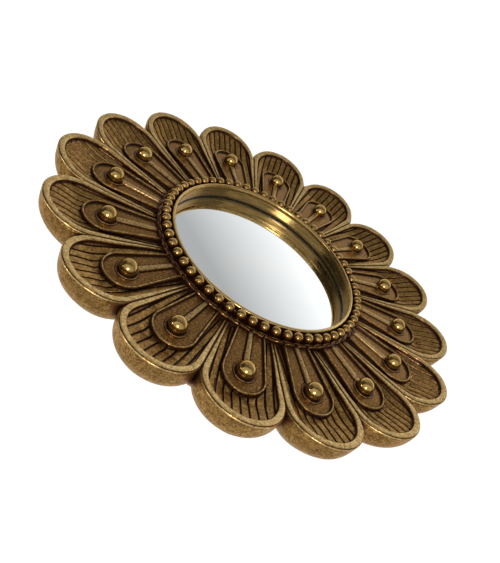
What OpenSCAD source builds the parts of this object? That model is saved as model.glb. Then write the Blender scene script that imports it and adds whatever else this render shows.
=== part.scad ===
// Round wall mirror: a cast ring of sixteen dished petals round a beaded bezel.
//
// The mirror hangs on a wall. The origin is the centre of the back board's
// rear face. +Z is up, the glass faces -Y, and +Y goes into the wall.
//
// Every piece but the hanger is drawn on its own axis first, in "face"
// coordinates: r is the distance from the mirror's axis, and the depth d grows
// from the front of the mirror to its back. d = 0 is the plane that holds the
// centres of the sixteen balls. place() turns face coordinates upright.

/* [Rosette] */
// Number of petals round the mirror
petals = 16; // [16:1:16]
// Radius of the circle that the ball centres lie on
ball_circle_r = 103; // [103:0.5:104]
// Distance from the mirror's axis to the centre of each petal's round tip
tip_centre_r = 117; // [116.5:0.1:117.5]
// Radius of each petal's round tip, measured at the rim
tip_r = 22.3; // [21.8:0.1:22.4]
// Half angle of a petal at its root
root_half_angle = 10.8; // [10:0.1:10.9]
// Width of the flat rim at each petal's tip
rim_w = 3.4; // [3:0.1:4]
// Angle by which the rim narrows towards the petal's root
rim_taper = 1.2; // [1:0.1:1.6]
// Outermost radius of the petals' rounded side wall
wall_r = 140; // [139.8:0.1:140.2]
// Depth of the casting's flat rear face
rear_d = 21.3; // [21:0.1:22]

/* [Eye plate and stem] */
// Distance from the mirror's axis to the centre of the eye plate's round tip
eye_centre_r = 104.6; // [104:0.1:105]
// Radius of the eye plate's round tip
eye_r = 12.5; // [12:0.1:13]
// Half angle of the eye plate at its root
eye_half_angle = 6.6; // [6.2:0.1:7]
// Width of the raised line round the eye plate
eye_border_w = 1.2; // [0.8:0.1:1.6]
// Width of the stem at the ball
stem_w_ball = 3.2; // [2.2:0.1:3.4]
// Width of the stem at the root
stem_w_root = 2.3; // [1.6:0.1:2.4]

/* [Ball studs] */
// Radius of each ball
ball_r = 5.05; // [4.8:0.05:5.15]
// Radius of the spigot under each ball
spigot_r = 1.5; // [1.3:0.1:1.8]
// Depth that the spigot's end reaches
spigot_end_d = 10; // [9:0.5:11]

/* [Beaded bezel] */
// Number of beads
beads = 59; // [56:1:59]
// Radius of the circle that the bead centres lie on
bead_circle_r = 68.6; // [68.4:0.1:68.8]
// Radius of each bead
bead_r = 2.9; // [2.7:0.1:3]
// Radius of the opening over the glass, at the rounded lip
opening_r = 62.6; // [62.3:0.1:62.8]
// Outer radius of the bezel's ledge
ledge_r = 72.6; // [72:0.1:73]
// Outer radius of the bezel's sleeve
sleeve_r = 64.6; // [64.4:0.1:64.8]

/* [Glass and back] */
// Radius of the glass
glass_r = 67.4; // [67:0.1:67.6]
// Thickness of the glass
glass_t = 3; // [2:0.5:4]
// Radius of the back board
board_r = 106.3; // [105:0.1:107]
// Thickness of the back board
board_t = 3; // [3:0.1:3]
// Radius of the circle that the board's screws lie on
screw_circle_r = 98; // [96:0.5:100]
// Number of screws that hold the board
board_screw_n = 6; // [4:1:8]

/* [Hanger] */
// Height of the hanger's hinge axis above the mirror's axis
hinge_z = 88; // [87:0.5:90]
// Half the distance between the middles of the D-ring's two arms
ring_half_w = 10; // [9.5:0.1:11]
// Length of the D-ring's straight arms
ring_arm = 11; // [10:0.5:13]
// Radius of the D-ring's wire
wire_r = 1; // [1:0.05:1]
// Radial clearance of the wire in the rolled knuckle
hinge_gap = 0.05; // [0.03:0.01:0.08]
// Width of the strap
strap_w = 14; // [12:0.5:14]
// Thickness of the strap
strap_t = 1; // [0.8:0.1:1]

/* [Hidden] */
$fn = 64;

glass_front_d = 7.7;            // depth of the glass's front face
glass_back_d = glass_front_d + glass_t;
board_back_d = rear_d + board_t;
seat_d = 3.4;                   // depth of the ledge's seat on the frame
hub_r = 73.2;                   // radius of that seat
bore_r = sleeve_r + 0.3;        // the frame's bore round the sleeve
pocket_r = glass_r + 0.4;       // the pocket for the glass
pitch = 360 / petals;
knuckle_r = wire_r + hinge_gap + 1.05;
hinge_y = knuckle_r;            // the knuckle touches the board's rear face
hanger_screw_z = hinge_z - 5.8;
bumper_x = 62;
bumper_z = -68;
bumper_t = 3.6;

// Depth of the rim's top: it rises towards the tips of the petals
rim_line = [[hub_r, 2.8], [ball_circle_r, 0], [123.6, -2.6], [wall_r + 1, -6.17]];
// Depth of the ribbed floor inside the rim
floor_line = [[hub_r, 4.3], [97, 3.4], [118.4, 2.2], [128, -1.3], [wall_r + 1, -5]];
// Depth of the bottom of the crease between neighbouring petals
crease_line = [[hub_r, 5.4], [101, 3.9], [124.4, 1.5], [136, -1.9]];
eye_border_d = 1;
eye_inner_d = 2.2;
stem_top_d = 1.1;
collar_r = 6.3;
collar_top_d = 1.7;

// The round bowl under each petal's tip
bowl_r = wall_r - tip_centre_r;
bowl_d = -3.4;
// Side of the thick ring, where it shows in the notches between the petals
web_line = [[122.6, 6], [121.4, 11], [118.8, 16], [114.6, rear_d - 1.6], [112, rear_d]];

function reversed(list) = [for (i = [len(list) - 1 : -1 : 0]) list[i]];
function shifted(list, by) = [for (p = list) [p[0], p[1] + by]];

// Turns face coordinates upright: the face looks along -Y, petal 4 points up
module place() {
    translate([0, -board_back_d, 0]) rotate([-90, 0, 0]) rotate([0, 0, 180]) children();
}

// A ring on the mirror's axis, from an outline of [radius, depth] points
module ring_of(points) {
    rotate_extrude($fn = 180) polygon(points);
}

// Outline of one tapered plate with a round tip, drawn in by inset all round
module plate_2d(centre, radius, root, half_angle, inset = 0) {
    p0 = [root * cos(half_angle), root * sin(half_angle)];
    d = [centre - p0[0], -p0[1]];
    a = atan2(d[1], d[0]) + asin(radius / norm(d));
    t = [cos(a), sin(a)];
    n = [-sin(a), cos(a)];
    far = [centre, 0] + n * (radius - inset) * 0.9995;  // a hair inside the circle
    s = (p0 - far) * t;
    near = far + s * t;
    translate([centre, 0]) circle(r = radius - inset);
    polygon([near, far, [centre, 0], [far[0], -far[1]], [near[0], -near[1]]]);
}

module petal_2d(inset) {
    plate_2d(tip_centre_r, tip_r, hub_r - 6, root_half_angle, inset);
}

module eye_2d(inset) {
    plate_2d(eye_centre_r, eye_r, hub_r - 3, eye_half_angle, inset);
}

module round_petals() {
    for (k = [0 : petals - 1]) rotate([0, 0, k * pitch]) children();
}

// A slab that spans every depth of the mirror, from a flat outline
module slab() {
    translate([0, 0, -12]) linear_extrude(height = 40) children();
}

// The cast ring of petals
module petal_frame() {
    color([0.62, 0.47, 0.24])
    place() difference() {
        union() {
            // body under the creases: a round bowl under each petal's tip, and
            // the thick ring that joins them
            intersection() {
                union() {
                    round_petals() translate([tip_centre_r, 0, bowl_d]) sphere(r = bowl_r);
                    ring_of(concat([[bore_r, -4], [122.6, -4]], web_line,
                        [[pocket_r, rear_d], [pocket_r, glass_front_d], [bore_r, glass_front_d]]));
                }
                ring_of(concat(
                    [[bore_r - 1, seat_d], [hub_r, seat_d]],
                    crease_line,
                    [[wall_r + 2, -3.4], [wall_r + 2, rear_d + 1], [bore_r - 1, rear_d + 1]]));
            }
            // raised petals with their rims
            intersection() {
                slab() round_petals() petal_2d(0);
                ring_of(concat(rim_line, reversed(shifted(crease_line, 1.5))));
            }
        }
        // dished floors inside the rims
        intersection() {
            slab() round_petals() difference() {
                plate_2d(tip_centre_r, tip_r - rim_w, hub_r - 6, root_half_angle - rim_taper);
                eye_2d(0);
            }
            ring_of(concat([[hub_r, -11], [wall_r + 1, -11]], reversed(floor_line)));
        }
        // sunk middle of the eye plates, left standing round the stem
        intersection() {
            slab() round_petals() difference() {
                eye_2d(eye_border_w);
                polygon([[hub_r - 6, -stem_w_root / 2], [ball_circle_r - 4, -stem_w_ball / 2],
                         [ball_circle_r - 4, stem_w_ball / 2], [hub_r - 6, stem_w_root / 2]]);
                translate([ball_circle_r, 0]) circle(r = collar_r);
            }
            ring_of([[hub_r, -11], [wall_r, -11], [wall_r, eye_inner_d], [hub_r, eye_inner_d]]);
        }
        // tops of the eye borders, stems and collars
        intersection() {
            slab() round_petals() eye_2d(0);
            ring_of([[hub_r, -11], [wall_r, -11], [wall_r, eye_border_d], [hub_r, eye_border_d]]);
        }
        intersection() {
            slab() round_petals() polygon([[hub_r - 6, -stem_w_root / 2 - 0.01], [ball_circle_r - 4, -stem_w_ball / 2 - 0.01],
                         [ball_circle_r - 4, stem_w_ball / 2 + 0.01], [hub_r - 6, stem_w_root / 2 + 0.01]]);
            ring_of([[hub_r, -11], [wall_r, -11], [wall_r, stem_top_d], [hub_r, stem_top_d]]);
        }
        round_petals() translate([ball_circle_r, 0, 0]) {
            translate([0, 0, collar_top_d - 8]) cylinder(r = collar_r + 0.01, h = 8);
            sphere(r = ball_r + 0.05);
            translate([0, 0, 2]) cylinder(r = spigot_r + 0.1, h = spigot_end_d + 0.3 - 2);
        }
        // pilot holes for the board's screws
        for (i = [0 : board_screw_n - 1])
            rotate([0, 0, (i + 0.5) * 360 / board_screw_n])
                translate([screw_circle_r, 0, rear_d - 9.3]) cylinder(r = 1.55, h = 12);
        // pilot hole for the hanger's screw
        translate([0, hanger_screw_z, rear_d - 9.3]) cylinder(r = 1.5, h = 12);
    }
}

// Sixteen balls, each with the spigot that holds it in the frame
module ball_studs() {
    color([0.78, 0.62, 0.32])
    place() round_petals() translate([ball_circle_r, 0, 0]) {
        sphere(r = ball_r);
        translate([0, 0, ball_r - 1]) cylinder(r = spigot_r, h = spigot_end_d - ball_r + 1);
    }
}

// Lip, bead row, ledge and sleeve in one ring
module bead_bezel() {
    color([0.72, 0.56, 0.28])
    place() union() {
        ring_of([
            [opening_r + 0.9, glass_front_d], [opening_r + 1.1, 0.4], [opening_r + 0.4, -0.9],
            [opening_r, -1.9], [opening_r + 0.2, -2.7], [opening_r + 0.8, -3.25],
            [opening_r + 1.5, -3.25], [opening_r + 2.1, -2.7], [opening_r + 2.3, -1.6],
            [opening_r + 2.35, 0.3], [bead_circle_r - bead_r - 0.3, 0.7],
            [bead_circle_r + bead_r + 0.2, 0.7], [ledge_r - 0.4, 1.5], [ledge_r, 1.9],
            [ledge_r, seat_d], [sleeve_r, seat_d], [sleeve_r, glass_front_d]]);
        for (i = [0 : beads - 1])
            rotate([0, 0, -88.56 + i * 360 / beads])
                translate([bead_circle_r, 0, -1.85]) sphere(r = bead_r);
    }
}

// The round glass, silvered on its back
module mirror_glass() {
    color([0.82, 0.85, 0.87])
    place() translate([0, 0, glass_front_d]) cylinder(r = glass_r, h = glass_t, $fn = 180);
}

// Foam pad that presses the glass against its shoulder
module glass_cushion() {
    color([0.15, 0.15, 0.16])
    place() translate([0, 0, glass_back_d]) cylinder(r = glass_r - 0.9, h = rear_d - glass_back_d, $fn = 180);
}

// Black board that closes the back
module back_board() {
    color([0.06, 0.06, 0.06])
    place() difference() {
        translate([0, 0, rear_d]) cylinder(r = board_r, h = board_t, $fn = 180);
        for (i = [0 : board_screw_n - 1])
            rotate([0, 0, (i + 0.5) * 360 / board_screw_n])
                translate([screw_circle_r, 0, 0]) {
                    translate([0, 0, rear_d - 1]) cylinder(r = 1.7, h = board_t + 2);
                    translate([0, 0, board_back_d - 1.45]) cylinder(r1 = 1.7, r2 = 3.15, h = 1.45);
                    translate([0, 0, board_back_d - 0.01]) cylinder(r = 3.15, h = 1);
                }
        translate([0, hanger_screw_z, rear_d - 1]) cylinder(r = 1.5, h = board_t + 2);
    }
}

// Six countersunk screws through the board into the frame
module board_screws() {
    color([0.55, 0.55, 0.57])
    place() for (i = [0 : board_screw_n - 1])
        rotate([0, 0, (i + 0.5) * 360 / board_screw_n])
            translate([screw_circle_r, 0, 0]) difference() {
                union() {
                    translate([0, 0, board_back_d - 1.6]) cylinder(r1 = 1.5, r2 = 3, h = 1.5);
                    translate([0, 0, rear_d - 7]) cylinder(r = 1.5, h = board_t + 7 - 1.4);
                    translate([0, 0, rear_d - 9]) cylinder(r1 = 0.3, r2 = 1.5, h = 2);
                }
                translate([-2.2, -0.4, board_back_d - 0.8]) cube([4.4, 0.8, 2]);
                translate([-0.4, -2.2, board_back_d - 0.8]) cube([0.8, 4.4, 2]);
            }
}

// Steel strap with a knuckle rolled round the D-ring's straight side
module hanger_strap() {
    bottom = hinge_z - 11;
    color([0.72, 0.72, 0.74])
    difference() {
        union() {
            translate([-strap_w / 2, 0, bottom + 3]) cube([strap_w, strap_t, 8]);
            translate([-strap_w / 2 + 3, 0, bottom]) cube([strap_w - 6, strap_t, 3.5]);
            for (x = [-1, 1])
                translate([x * (strap_w / 2 - 3), strap_t, bottom + 3]) rotate([90, 0, 0]) cylinder(r = 3, h = strap_t);
            translate([-strap_w / 2, hinge_y, hinge_z]) rotate([0, 90, 0]) cylinder(r = knuckle_r, h = strap_w);
        }
        translate([-strap_w / 2 - 1, hinge_y, hinge_z]) rotate([0, 90, 0]) cylinder(r = wire_r + hinge_gap, h = strap_w + 2);
        translate([0, strap_t + 1, hanger_screw_z]) rotate([90, 0, 0]) cylinder(r = 1.6, h = strap_t + 2);
    }
}

// Pan-head screw through the strap and board into the frame
module hanger_screw() {
    color([0.62, 0.62, 0.64])
    translate([0, 0, hanger_screw_z]) rotate([-90, 0, 0]) difference() {
        union() {
            translate([0, 0, strap_t]) rotate_extrude() polygon([[0, 0], [2.7, 0], [2.7, 0.7], [2.2, 1.3], [1.2, 1.6], [0, 1.7]]);
            translate([0, 0, -board_t - 7]) cylinder(r = 1.45, h = board_t + 7 + strap_t + 0.2);
            translate([0, 0, -board_t - 9]) cylinder(r1 = 0.3, r2 = 1.45, h = 2);
        }
        translate([-1.6, -0.3, strap_t + 0.8]) cube([3.2, 0.6, 2]);
        translate([-0.3, -1.6, strap_t + 0.8]) cube([0.6, 3.2, 2]);
    }
}

// D-ring, hanging down round the strap
module hanger_ring() {
    color([0.75, 0.75, 0.77])
    translate([0, hinge_y, hinge_z]) {
        translate([-ring_half_w, 0, 0]) rotate([0, 90, 0]) cylinder(r = wire_r, h = 2 * ring_half_w);
        for (x = [-1, 1]) {
            translate([x * ring_half_w, 0, 0]) sphere(r = wire_r);
            translate([x * ring_half_w, 0, -ring_arm]) cylinder(r = wire_r, h = ring_arm);
        }
        translate([0, 0, -ring_arm]) rotate([90, 0, 0]) rotate([0, 0, 180])
            rotate_extrude(angle = 180) translate([ring_half_w, 0]) circle(r = wire_r, $fn = 32);
    }
}

// Two rubber bumpers that keep the mirror level off the wall
module wall_bumpers() {
    color([0.1, 0.1, 0.1])
    for (x = [-1, 1])
        translate([x * bumper_x, 0, bumper_z]) rotate([-90, 0, 0])
            rotate_extrude() polygon([[0, 0], [5.5, 0], [5.5, 2.2], [5.1, 3], [4.4, 3.5], [3.8, bumper_t], [0, bumper_t]]);
}

petal_frame();
ball_studs();
bead_bezel();
mirror_glass();
glass_cushion();
back_board();
board_screws();
hanger_strap();
hanger_screw();
hanger_ring();
wall_bumpers();
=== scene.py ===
import math

import bmesh
import bpy
import numpy as np
from mathutils import Matrix, Vector, geometry

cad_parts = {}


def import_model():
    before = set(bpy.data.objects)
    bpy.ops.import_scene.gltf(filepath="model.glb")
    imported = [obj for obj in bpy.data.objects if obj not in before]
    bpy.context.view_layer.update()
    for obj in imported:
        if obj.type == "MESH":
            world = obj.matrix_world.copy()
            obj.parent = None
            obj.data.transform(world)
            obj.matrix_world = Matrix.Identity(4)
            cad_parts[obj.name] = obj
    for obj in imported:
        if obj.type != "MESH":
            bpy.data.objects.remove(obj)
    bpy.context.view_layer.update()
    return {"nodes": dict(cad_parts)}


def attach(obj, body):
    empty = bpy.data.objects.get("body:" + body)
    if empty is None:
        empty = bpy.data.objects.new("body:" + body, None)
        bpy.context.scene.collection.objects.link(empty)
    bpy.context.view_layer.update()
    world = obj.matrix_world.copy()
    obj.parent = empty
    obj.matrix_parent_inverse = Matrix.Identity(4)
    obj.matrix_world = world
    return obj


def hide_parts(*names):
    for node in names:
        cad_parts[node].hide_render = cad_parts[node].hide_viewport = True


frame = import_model()

# ---------------------------------------------------------------------------
# Face coordinates, in millimetres: x runs out along a petal's middle line, y
# across it, and d from the front of the mirror to its back. d = 0 is the plane
# of the ball centres. BACK is the depth of the board's rear face, world y = 0.
BACK = 24.3
PETALS = 16
PITCH = 360.0 / PETALS
BALL_R = 103.0
ROOT_X = 70.0


def world(points):
    p = np.asarray(points, float)
    return np.stack([-p[:, 0], p[:, 2] - BACK, p[:, 1]], 1) * 0.001


def turned(points, degrees):
    p = np.array(points, float)
    a = math.radians(degrees)
    x, y = p[:, 0].copy(), p[:, 1].copy()
    p[:, 0] = x * math.cos(a) - y * math.sin(a)
    p[:, 1] = x * math.sin(a) + y * math.cos(a)
    return p


def step(x, a, b):
    t = np.clip((np.asarray(x, float) - a) / (b - a), 0, 1)
    return t * t * (3 - 2 * t)


def soft_min(a, b, k):
    h = np.clip(0.5 + 0.5 * (b - a) / k, 0, 1)
    return b * (1 - h) + a * h - k * h * (1 - h)


# ---------------------------------------------------------------------------
# Outlines: a round tip with two straight sides, as the petals and eye plates have
class Plate:
    def __init__(self, centre, radius, root_r, root_angle):
        self.c, self.r = centre, radius
        a = math.radians(root_angle)
        px, py = root_r * math.cos(a), root_r * math.sin(a)
        dist = math.hypot(centre - px, py)
        self.a = math.asin(radius / dist) - math.atan2(py, centre - px)
        self.t = np.array([math.cos(self.a), math.sin(self.a)])
        self.n = np.array([-math.sin(self.a), math.cos(self.a)])

    def base(self, x0, n_side, n_arc):
        """Outline points from the +y root over the tip to the -y root, with their outward normals."""
        far = np.array([self.c, 0.0]) + self.n * self.r
        length = (far[0] - x0) / self.t[0]
        s = np.linspace(length, 0, n_side, endpoint=False)
        side = far - s[:, None] * self.t
        side_n = np.repeat(self.n[None], n_side, 0)
        th = np.linspace(math.pi / 2 + self.a, -math.pi / 2 - self.a, n_arc)
        arc_n = np.stack([np.cos(th), np.sin(th)], 1)
        arc = np.array([self.c, 0.0]) + self.r * arc_n
        flip = np.array([1.0, -1.0])
        pts = np.vstack([side, arc, side[::-1] * flip])
        nrm = np.vstack([side_n, arc_n, side_n[::-1] * flip])
        return pts, nrm

    def inside(self, x, y):
        """Distance from the outline, positive inside, and the outward normal of the nearest outline point."""
        s = np.where(y >= 0, 1.0, -1.0)
        vx, vy = x - self.c, y
        along = vx * self.t[0] + vy * self.t[1] * s
        rad = np.hypot(vx, vy)
        across = vx * self.n[0] + vy * self.n[1] * s
        on_arc = along > 0
        inset = np.where(on_arc, self.r - rad, self.r - across)
        safe = np.where(rad < 1e-9, 1.0, rad)
        nx = np.where(on_arc, vx / safe, self.n[0])
        ny = np.where(on_arc, vy / safe, self.n[1] * s)
        return inset, nx, ny


PETAL = Plate(117.0, 22.3, 74.16, 10.85)
EYE = Plate(104.65, 12.46, 74.16, 6.6)

EYE_TOP = 1.0
EYE_FLOOR = 2.27
STEM_TOP = 1.05
COLLAR_TOP = 1.75
GROOVES = [j for j in range(-4, 5)]


def rim_d(r):
    return np.interp(r, [68, 73.2, 88, 103, 113, 123.6, 141], [3.35, 2.8, 1.32, 0.02, -1.22, -2.6, -6.17])


def rim_w(x):
    return np.interp(x, [73, 80, 89, 100, 112, 126, 139], [0.85, 1.05, 1.4, 2.05, 2.8, 3.3, 3.4])


def groove_y(j, x):
    return j * 4.55 * (x + 134.0) / 257.6


def stem_half(x):
    return np.interp(x, [73, 99], [1.15, 1.6])


def front(x, y):
    """Depth of a petal's front face with its mask of patina and painted shade and its mask of rubbed gold and painted
    highlight.
    """
    a, nx, ny = PETAL.inside(x, y)
    fx, fy = x + nx * a, y + ny * a
    w = rim_w(fx)
    b = a - w
    r = np.hypot(x, y)
    # flat rim, a little crowned, with soft edges
    top = rim_d(r) - 0.10 * np.clip(1 - ((a / np.maximum(w, 0.1)) * 2 - 1) ** 2, 0, 1)
    top = top + 0.14 * np.clip(1 - a / 0.38, 0, 1) ** 2 + 0.16 * np.clip(1 + b / 0.42, 0, 1) ** 2
    # dished floor
    ix, iy = fx - nx * w, fy - ny * w
    edge = rim_d(np.hypot(ix, iy)) + 1.8
    floor = edge + 0.33 * np.maximum(b - 0.2, 0)
    base = 2.6 + 0.06 * np.maximum(100 - r, 0)
    floor = soft_min(floor, base, 0.9)
    e, _, _ = EYE.inside(x, y)
    e = -e
    # ribs: a V-shaped line between each two
    fade = step(b, 0.12, 0.55) * step(e, 0.1, 0.45)
    patina_and_shade, crest = np.zeros_like(x), np.zeros_like(x)
    for j in GROOVES:
        slope = math.atan(abs(j) * 4.64 / 257.6)
        g = np.abs(y - groove_y(j, x)) * math.cos(slope)
        floor = floor + fade * 0.9 * (1 - step(g, 0.14, 0.70))
        patina_and_shade = np.maximum(patina_and_shade, fade * np.clip((0.6 - g) / 0.2, 0, 1))
        # rubbed gold along each rib's edge beside its groove, partly a painted highlight line
        crest = np.maximum(crest, fade * np.clip(1 - np.abs(g - 0.62) / 0.16, 0, 1))
        floor = floor + fade * 0.16 * np.clip(1 - g / 2.1, 0, 1) ** 1.5
    floor = floor + 0.16 * np.exp(-np.maximum(b - 0.3, 0) / 0.35) + 0.34 * np.exp(-np.maximum(e - 0.25, 0) / 0.5)
    rise = step(b, 0.0, 0.34)
    rim_floor = np.where(b <= 0, top, top * (1 - rise) + floor * rise)
    patina_and_shade = np.maximum(patina_and_shade, step(b, -0.05, 0.22) * np.exp(-np.maximum(b - 0.25, 0) / 0.5))
    patina_and_shade = np.maximum(patina_and_shade, 0.18 * step(b, 0.1, 0.3) * np.exp(-np.maximum(b - 0.3, 0) / 1.5))
    patina_and_shade = np.maximum(patina_and_shade, 1.0 * np.exp(-np.maximum(e - 0.25, 0) / 0.6) * step(e, -0.05, 0.1))
    patina_and_shade = np.maximum(patina_and_shade, 0.35 * np.exp(-np.maximum(e - 0.25, 0) / 2.0) * step(e, -0.05, 0.1))
    # eye plate
    i = -e
    border = EYE_TOP - 0.10 * np.clip(1 - ((i / 1.05) * 2 - 1) ** 2, 0, 1)
    border = border + 0.22 * np.clip(1 - i / 0.25, 0, 1) ** 2 + 0.22 * np.clip(1 - (1.05 - i) / 0.25, 0, 1) ** 2
    inner = EYE_FLOOR - 0.12 * step(i, 2.0, 9.0)
    inner = inner + 0.26 * np.exp(-np.maximum(i - 1.32, 0) / 0.4)
    eye = np.where(i <= 1.05, border, border + (inner - border) * step(i, 1.0, 1.38))
    rise = step(e, 0.0, 0.26)
    d = np.where(e <= 0, eye, eye * (1 - rise) + rim_floor * rise)
    d = np.where(e > 0.26, rim_floor, d)
    in_eye = step(i, 0.85, 1.2)
    patina_and_shade = np.where(e <= 0.0, 0.0, patina_and_shade)
    patina_and_shade = np.maximum(patina_and_shade, in_eye * 1.0 * np.exp(-np.maximum(i - 1.35, 0) / 0.45))
    patina_and_shade = np.maximum(patina_and_shade, in_eye * 0.38 * np.exp(-np.maximum(i - 1.35, 0) / 2.2))
    patina_and_shade = np.maximum(patina_and_shade, in_eye * 0.3)
    # stem, with a carved line on each side, and the seat ring round the ball
    c = np.hypot(x - BALL_R, y)
    s = np.abs(y) - stem_half(x)
    on = step(-x, -102.5, -100.5) * step(i, 1.0, 1.6)
    d = d + on * 0.42 * np.clip(1 - np.abs(s - 0.42) / 0.48, 0, 1) * (c > 6.6)
    patina_and_shade = np.maximum(patina_and_shade, on * step(s, 0.12, 0.3) * np.exp(-np.maximum(s - 0.62, 0) / 0.4) * (c > 6.3))
    patina_and_shade = np.maximum(patina_and_shade, 0.35 * on * step(s, 0.12, 0.3) * np.exp(-np.maximum(s - 0.6, 0) / 1.3))
    d = d + 0.14 * np.exp(-np.maximum(c - 6.6, 0) / 0.4) * (c > 6.35) * (s > 0.1)
    seat = COLLAR_TOP + 0.14 * np.clip(np.abs(c - 5.6) / 0.75, 0, 1) ** 2 + 0.12 * np.clip(1 - (6.35 - c) / 0.2, 0, 1) ** 2
    seat_out = step(c, 6.35, 6.58)
    d = np.where(c < 6.58, seat * (1 - seat_out) + d * seat_out, d)
    stem = STEM_TOP + 0.08 * (y / 1.6) ** 2 + 0.16 * np.clip(1 + s / 0.28, 0, 1) ** 2
    stem_rise = step(s, 0.0, 0.3)
    d = np.where((s < 0.3) & (x < 101.5) & (i > 0.6), np.minimum(d, stem * (1 - stem_rise) + d * stem_rise), d)
    d = np.where(c < 4.92, 2.0 + 0.75 * step(-c, -4.92, -4.62), d)
    around = 1.0 - step(-s, -0.1, 0.1) * (x < BALL_R) * step(c, 5.0, 5.3)
    in_seat = 1.0 - 0.25 * step(c, 5.2, 5.7) - 0.5 * step(c, 5.98, 6.15)
    # patina in the seat's hollow round each ball, with painted shade of the ball darkening the seat and a ring of floor
    # round it
    patina_and_shade = np.where((c > 4.9) & (c < 6.4), np.maximum(patina_and_shade * (1 - around), around * in_seat), patina_and_shade)
    patina_and_shade = np.maximum(patina_and_shade, around * 0.9 * step(c, 6.33, 6.45) * np.exp(-np.maximum(c - 6.6, 0) / 0.4))
    patina_and_shade = np.maximum(patina_and_shade, around * 0.45 * step(c, 6.35, 6.5) * np.exp(-np.maximum(c - 6.6, 0) / 1.8))
    patina_and_shade = np.where(c < 4.98, 1.0, patina_and_shade)
    # where gold is rubbed bright; the lines along the rib edges, the stem sides and the seat's outer edge are partly
    # painted highlight
    rub_and_highlight = np.zeros_like(x)
    rub_and_highlight = np.maximum(rub_and_highlight, np.where(e > 0, 0.5 * crest, 0))
    rub_and_highlight = np.maximum(rub_and_highlight, np.where(b < 0, step(a, 0.0, 0.16) * step(-b, 0.0, 0.16), 0))
    rub_and_highlight = np.maximum(rub_and_highlight, 0.5 * np.clip(1 - np.abs(i - 0.52) / 0.5, 0, 1) ** 0.5 * (e <= 0))
    rub_and_highlight = np.where(c < 6.5, 0.0, rub_and_highlight)
    # painted highlight: a pale line on each seat's outer edge
    rub_and_highlight = np.maximum(rub_and_highlight, 0.5 * around * np.clip(1 - np.abs(c - 6.24) / 0.14, 0, 1) ** 0.5)
    rub_and_highlight = np.maximum(rub_and_highlight, 0.9 * on * step(-s, -0.2, 0.02) * (c > 5.2))
    # painted shade: the roots, in the bezel's shade, are darkened, and keep their patina with little rubbed gold
    root = np.exp(-np.maximum(r - 73.0, 0) / 1.6)
    patina_and_shade = np.maximum(patina_and_shade, 0.9 * root)
    rub_and_highlight = rub_and_highlight * (1 - 0.85 * root)
    return d, np.clip(patina_and_shade, 0, 1), np.clip(rub_and_highlight, 0, 1)


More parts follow.
